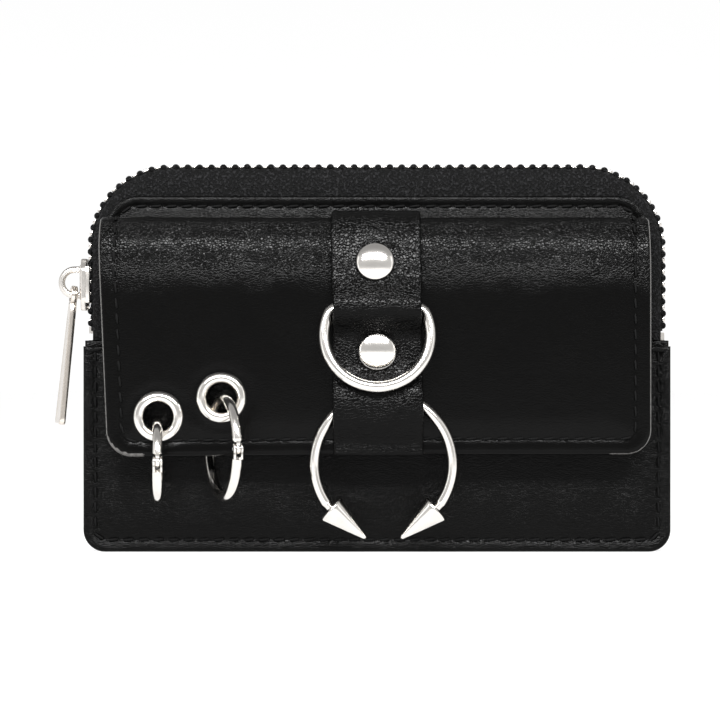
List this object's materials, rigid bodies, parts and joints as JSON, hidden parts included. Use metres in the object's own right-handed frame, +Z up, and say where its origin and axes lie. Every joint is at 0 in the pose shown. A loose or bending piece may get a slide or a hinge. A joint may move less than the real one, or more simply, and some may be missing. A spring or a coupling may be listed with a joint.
{
  "type": "zip purse with snap flap",
  "caption": "Flat leather zip purse with a snap flap, front card pocket, riveted centre strap, swinging ring, horseshoe barbell, hinged hoops in eyelets and a zip pull.",
  "frame": {"origin": "middle of the purse's width, on the line of its lower edge, in the seam between front and back panels", "axes": "+X along the width, +Y from the flap's front towards the back, +Z up to the zip"},
  "size_m": [0.1273, 0.0365, 0.0794],
  "materials": {
    "leather": "black, finely grained, satin, with painted cut edges",
    "lining": "black woven lining",
    "zip_tape": "black woven tape",
    "zip_metal": "polished nickel",
    "nickel": "mirror-polished nickel plate",
    "fastener_steel": "satin steel"
  },
  "bodies": {
    "purse": {"seam_welt": "leather", "back_panel": "leather", "back_lining": "lining", "front_panel": "leather", "front_lining": "lining", "card_slot_panel": "leather", "card_slot_edge": "leather", "pocket_panel": "leather", "pocket_lining": "lining", "pocket_welt": "leather", "zip_tape_front": "zip_tape", "zip_tape_back": "zip_tape", "zip_teeth_front": "zip_metal", "zip_teeth_back": "zip_metal", "zip_stops": "zip_metal", "zip_tab_left": "leather", "zip_tab_right": "leather", "snap_socket": "fastener_steel", "snap_socket_washer": "fastener_steel", "flap_fold": "leather", "strap_fold": "leather"},
    "flap": {"flap_panel": "leather", "flap_lining": "leather", "strap": "leather", "rivet_cap_upper": "nickel", "rivet_cap_lower": "nickel", "rivet_back_upper": "fastener_steel", "rivet_back_lower": "fastener_steel", "eyelet_left": "nickel", "eyelet_right": "nickel", "eyelet_washer_left": "fastener_steel", "eyelet_washer_right": "fastener_steel", "snap_stud": "fastener_steel"},
    "ring": {"d_ring": "nickel"},
    "barbell": {"barbell_ring": "nickel", "barbell_spike_left": "nickel", "barbell_spike_right": "nickel"},
    "hoop_left": {"hoop_left_upper": "nickel", "hoop_left_pin": "fastener_steel"},
    "hoop_left_gate": {"hoop_left_gate": "nickel"},
    "hoop_right": {"hoop_right_upper": "nickel", "hoop_right_pin": "fastener_steel"},
    "hoop_right_gate": {"hoop_right_gate": "nickel"},
    "slider": {"slider_body": "zip_metal", "slider_crown": "zip_metal"},
    "pull": {"pull_tab": "zip_metal"}
  },
  "joints": [
    {"name": "flap_hinge", "type": "hinge", "parent": "purse", "child": "flap", "pos_m": [0, -0.007, 0.0626], "axis": [-1, 0, 0], "range_deg": [0, 120], "deforming": ["flap_fold", "strap_fold"]},
    {"name": "d_ring_swing", "type": "hinge", "parent": "flap", "child": "ring", "pos_m": [0, -0.0142, 0.0496], "axis": [-1, 0, 0], "range_deg": [0, 95]},
    {"name": "barbell_turn", "type": "hinge", "parent": "flap", "child": "barbell", "pos_m": [0.00122, -0.01385, 0.0184], "axis": [0, 1, 0], "range_deg": [-34, 34]},
    {"name": "hoop_left_swing", "type": "hinge", "parent": "flap", "child": "hoop_left", "pos_m": [-0.0441, -0.0115, 0.0223], "axis": [-0.9962, -0.0872, 0], "range_deg": [0, 55]},
    {"name": "hoop_left_open", "type": "hinge", "parent": "hoop_left", "child": "hoop_left_gate", "pos_m": [-0.04345, -0.02082, 0.0191], "axis": [-0.9962, -0.0872, 0], "range_deg": [0, 60]},
    {"name": "hoop_right_swing", "type": "hinge", "parent": "flap", "child": "hoop_right", "pos_m": [-0.03199, -0.0116, 0.02455], "axis": [-0.9397, -0.342, 0], "range_deg": [0, 30]},
    {"name": "hoop_right_open", "type": "hinge", "parent": "hoop_right", "child": "hoop_right_gate", "pos_m": [-0.02746, -0.02403, 0.02175], "axis": [-0.9397, -0.342, 0], "range_deg": [0, 60]},
    {"name": "zip_slide", "type": "slide", "parent": "purse", "child": "slider", "axis": [0, 0, 1], "range_m": [-0.003, 0.0022], "deforming": ["zip_teeth_front", "zip_teeth_back"]},
    {"name": "pull_swing", "type": "hinge", "parent": "slider", "child": "pull", "pos_m": [-0.0628, 0.0049, 0.0553], "axis": [0, 1, 0], "range_deg": [-5, 140]}
  ]
}
